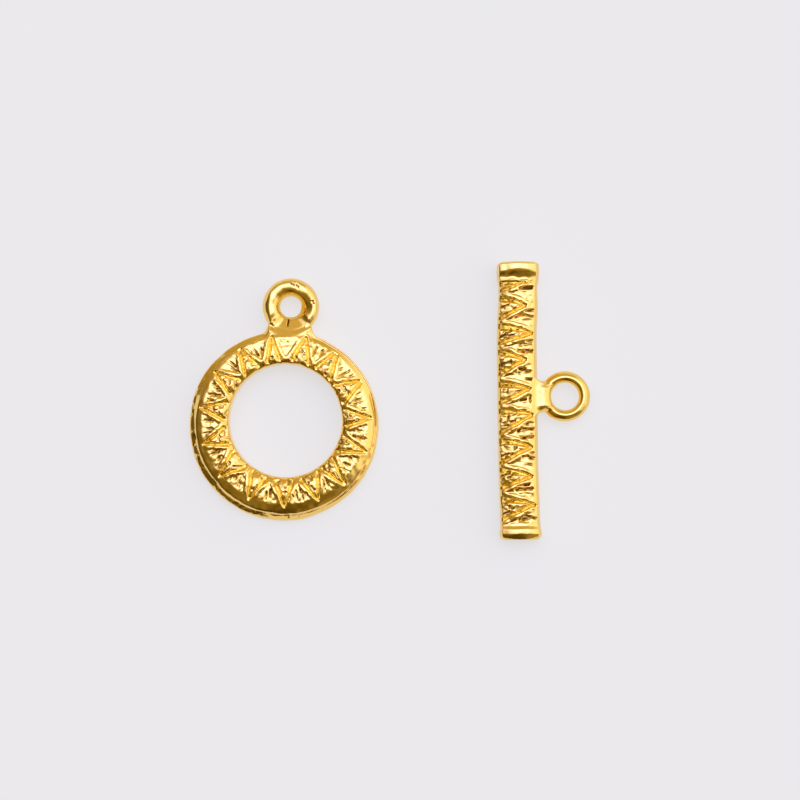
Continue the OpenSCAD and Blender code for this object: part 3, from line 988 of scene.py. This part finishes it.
def toggle_bar():
    """The bar half: its sides, closed at both ends, joined to its eye, and turned."""
    body, plain, channel, cut = bar_sides()
    foot_cap, foot_centre = bar_cap(body[:, 0], -1)
    head_cap, head_centre = bar_cap(body[:, -1], 1)
    body, plain = (np.concatenate([foot_cap, sides, head_cap[:, ::-1]], 1)
                   for sides in (body, plain))
    caps = ((0, 0), (len(CAP_RINGS), len(CAP_RINGS)))
    marks = {"channel": np.pad(channel, caps), "cut": np.pad(cut, caps)}
    rows, columns = body.shape[:2]

    block_top = CROWN_STEPS - 1
    beside_eye = int(np.argmin(np.abs(body[0, :, 1] - BAR_EYE_AT[1])))
    eye = eye_grid(BAR_EYE_AT, BAR_EYE, math.pi, BAR_EYE_COLUMNS,
                   once_round(BAR_EYE, 1.3, 8.6, BAR_BLOCK_ROWS, 13))
    eye = cast_skin(eye, normals_of(eye, True, True), 2.0)
    spin = np.array([[math.cos(BAR_TURN), math.sin(BAR_TURN)],
                     [-math.sin(BAR_TURN), math.cos(BAR_TURN)]])
    for points in (body, plain, eye, foot_centre, head_centre):
        points[..., :2] = points[..., :2] @ spin + BAR_AT

    rim = np.arange(rows) * columns
    poles = [(foot_centre, rim), (head_centre, rim[::-1] + columns - 1)]
    piece = joined("cast_bar", body, plain, marks, closed_grid(rows, columns)[:, :-1],
                   block_about(beside_eye, BAR_HALF_BLOCK, block_top, block_top + BAR_BLOCK_ROWS),
                   eye, block_about(BAR_EYE_COLUMNS // 2, BAR_HALF_BLOCK, 0, BAR_BLOCK_ROWS),
                   BAR_PULL, swelled_neck, poles)
    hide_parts("toggle_bar")
    return piece


# Finish

def linear(hex_colour):
    """An sRGB hex colour as linear RGBA."""
    parts = [int(hex_colour[i:i + 2], 16) / 255 for i in (1, 3, 5)]
    return [c / 12.92 if c <= 0.04045 else ((c + 0.055) / 1.055) ** 2.4 for c in parts] + [1]


def add(tree, kind, inputs=(), **settings):
    """Adds a node with its settings. Each input is a value, or another node's output."""
    made = tree.nodes.new(kind)
    for name, value in settings.items():
        setattr(made, name, value)
    for name, value in dict(inputs).items():
        if isinstance(value, bpy.types.NodeSocket):
            tree.links.new(value, made.inputs[name])
        else:
            made.inputs[name].default_value = value
    return made


def per_mm(size):
    """Texture scale that gives features of that size in millimetres."""
    return 1 / (size * MM)


def bright_gold_plate():
    """Bright gold plate on cast metal: a deep yellow mirror. Tumbling doesn't reach into the
    relief, so the plate is duller in the channels. Their deeper yellow, also round the eyes'
    bores, is painted reflection: it stands in for the light bounced between their walls. The
    brown at the bottom of the cuts is painted shade. The soft grain of the casting breaks the
    reflections up a little. The real grain is finer than the picture shows, and is drawn at
    0.28 mm so that it shows. The plate's tone drifts over about 2 mm."""
    material = bpy.data.materials.new("bright_gold_plate_on_casting")
    material.use_nodes = True
    tree = material.node_tree
    tree.nodes.clear()
    place = add(tree, "ShaderNodeTexCoord").outputs["Object"]
    grain = add(tree, "ShaderNodeTexNoise",
                {"Vector": place, "Scale": per_mm(0.28), "Detail": 3.0, "Roughness": 0.55})
    cloud = add(tree, "ShaderNodeTexNoise",
                {"Vector": place, "Scale": per_mm(2.2), "Detail": 2.0})
    channel, cut = (add(tree, "ShaderNodeAttribute", attribute_name=name).outputs["Fac"]
                    for name in ("channel", "cut"))
    tone = add(tree, "ShaderNodeMix",
               {0: cloud.outputs["Fac"], 6: linear("#fccf71"), 7: linear("#fcd880")},
               data_type="RGBA")
    # Painted reflection: a deeper yellow in the channels and round the eyes' bores stands in for
    # light bounced between their walls.
    deep = add(tree, "ShaderNodeMapRange",
               {"Value": channel, "From Min": 0.15, "From Max": 0.9, "To Min": 0, "To Max": 1.0})
    channel_reflection_painted = add(tree, "ShaderNodeMix",
                {0: deep.outputs["Result"], 6: tone.outputs[2], 7: linear("#f5cd50")},
                data_type="RGBA")
    # Painted shade: the bottoms of the cuts, the tooled marks, the seam's pits and the nicks are
    # painted brown.
    dark = add(tree, "ShaderNodeMapRange",
               {"Value": cut, "From Min": 0.18, "From Max": 0.9, "To Min": 0, "To Max": 0.95})
    cut_shade_painted = add(tree, "ShaderNodeMix",
                  {0: dark.outputs["Result"], 6: channel_reflection_painted.outputs[2], 7: linear("#74521c")},
                  data_type="RGBA")
    rough = add(tree, "ShaderNodeMapRange",
                {"Value": grain.outputs["Fac"], "From Min": 0.3, "From Max": 0.7,
                 "To Min": 0.07, "To Max": 0.16})
    dulled = add(tree, "ShaderNodeMath",
                 {0: channel, 1: 0.22, 2: rough.outputs["Result"]}, operation="MULTIPLY_ADD")
    bump = add(tree, "ShaderNodeBump",
               {"Height": grain.outputs["Fac"], "Strength": 0.35, "Distance": 0.02 * MM})
    shader = add(tree, "ShaderNodeBsdfPrincipled",
                 {"Base Color": cut_shade_painted.outputs[2], "Metallic": 1.0,
                  "Roughness": dulled.outputs["Value"], "Normal": bump.outputs["Normal"]})
    add(tree, "ShaderNodeOutputMaterial", {"Surface": shader.outputs["BSDF"]})
    return material


# Studio

# Radiance of the tent's dark side, then its lights in the order in which they cover each other:
# the middle's direction across and to the back, as sines, the half sizes at which the light
# ends, the share of them that is fully lit, and the radiance.
DARK_SIDE = (0.085, 0.055, 0.006, 1)
TENT_LIGHTS = [
    ((0.50, -0.85), (0.55, 0.35), 0.10, (0.34, 0.25, 0.065, 1)),
    ((-0.40, -0.70), (0.35, 0.25), 0.10, (0.26, 0.19, 0.050, 1)),
    ((0.00, 0.10), (1.25, 0.95), 0.10, (0.47, 0.37, 0.10, 1)),
    ((-0.75, 0.80), (0.80, 0.66), 0.25, (0.42, 0.30, 0.070, 1)),
    ((0.15, 0.95), (1.00, 0.62), 0.30, (0.62, 0.50, 0.20, 1)),
    ((0.76, 0.15), (0.40, 0.90), 0.35, (1.25, 1.20, 1.05, 1)),
    ((0.00, 0.25), (0.80, 0.55), 0.15, (2.3, 2.3, 3.6, 1)),
]

# The floor's half side, and its height just under the halves' flat backs, in millimetres.
FLOOR_HALF = 1500
FLOOR_Z = -0.01

# The camera: the point that it looks at, the width of the picture there, its tilt from straight
# overhead, and its focal length on a sensor of that width, in millimetres.
TARGET = (0.83, 0.04, 1.2)
PICTURE_WIDTH = 63.15
CAMERA_TILT = math.radians(2.5)
FOCAL_LENGTH = 100
SENSOR_WIDTH = 36


def lit_white_acrylic():
    """White acrylic over a light: an even, almost white ground that keeps no hard shadow."""
    material = bpy.data.materials.new("lit_white_acrylic")
    material.use_nodes = True
    shader = material.node_tree.nodes["Principled BSDF"]
    shader.inputs["Base Color"].default_value = linear("#898989")
    shader.inputs["Roughness"].default_value = 0.9
    shader.inputs["Specular IOR Level"].default_value = 0.0
    shader.inputs["Emission Color"].default_value = linear("#ffffff")
    shader.inputs["Emission Strength"].default_value = 0.62
    return material


def light_tent():
    """The inside of a light tent, by direction: one wide soft panel overhead and to the back, a
    white wall on the right, dim warm walls at the back and left, and dark where the camera's
    user stands. Each light is a soft-edged rectangle as seen from below."""
    world = bpy.data.worlds.new("light_tent")
    world.use_nodes = True
    tree = world.node_tree
    way = add(tree, "ShaderNodeTexCoord").outputs["Generated"]
    colour = DARK_SIDE
    for (x, y), (width, depth), full, light in TENT_LIGHTS:
        offset = add(tree, "ShaderNodeVectorMath", {0: way, 1: (x, y, 0)}, operation="SUBTRACT")
        away = add(tree, "ShaderNodeVectorMath", {0: offset.outputs[0]}, operation="ABSOLUTE")
        sides = add(tree, "ShaderNodeSeparateXYZ", {0: away.outputs[0]})
        shares = [add(tree, "ShaderNodeMapRange",
                      {"Value": sides.outputs[axis], "From Min": size, "From Max": size * full},
                      interpolation_type="SMOOTHSTEP").outputs["Result"]
                  for axis, size in (("X", width), ("Y", depth))]
        share = add(tree, "ShaderNodeMath", {0: shares[0], 1: shares[1]}, operation="MULTIPLY")
        mixed = add(tree, "ShaderNodeMix",
                    {0: share.outputs["Value"], 6: colour, 7: light}, data_type="RGBA")
        colour = mixed.outputs[2]
    tree.links.new(colour, tree.nodes["Background"].inputs["Color"])
    return world


def studio():
    """The floor, the light tent, and a camera almost straight overhead."""
    size, z = FLOOR_HALF * MM, FLOOR_Z * MM
    mesh = bpy.data.meshes.new("floor")
    mesh.from_pydata([(-size, -size, z), (size, -size, z), (size, size, z), (-size, size, z)],
                     [], [(0, 1, 2, 3)])
    floor = bpy.data.objects.new("floor", mesh)
    floor.data.materials.append(lit_white_acrylic())
    bpy.context.scene.collection.objects.link(floor)
    bpy.context.scene.world = light_tent()

    camera = bpy.data.objects.new("camera", bpy.data.cameras.new("camera"))
    camera.data.lens = FOCAL_LENGTH
    back = Vector((0, -math.sin(CAMERA_TILT), math.cos(CAMERA_TILT)))
    distance = PICTURE_WIDTH * MM * FOCAL_LENGTH / SENSOR_WIDTH
    camera.location = Vector([value * MM for value in TARGET]) + back * distance
    camera.rotation_mode = "QUATERNION"
    camera.rotation_quaternion = back.to_track_quat("Z", "Y")
    camera.data.clip_start, camera.data.clip_end = 0.01, 10
    bpy.context.scene.collection.objects.link(camera)
    bpy.context.scene.camera = camera
    bpy.context.scene.view_settings.view_transform = "Standard"


gold = bright_gold_plate()
for half in (toggle_loop(), toggle_bar()):
    half.data.materials.append(gold)
    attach(half, "root")
studio()
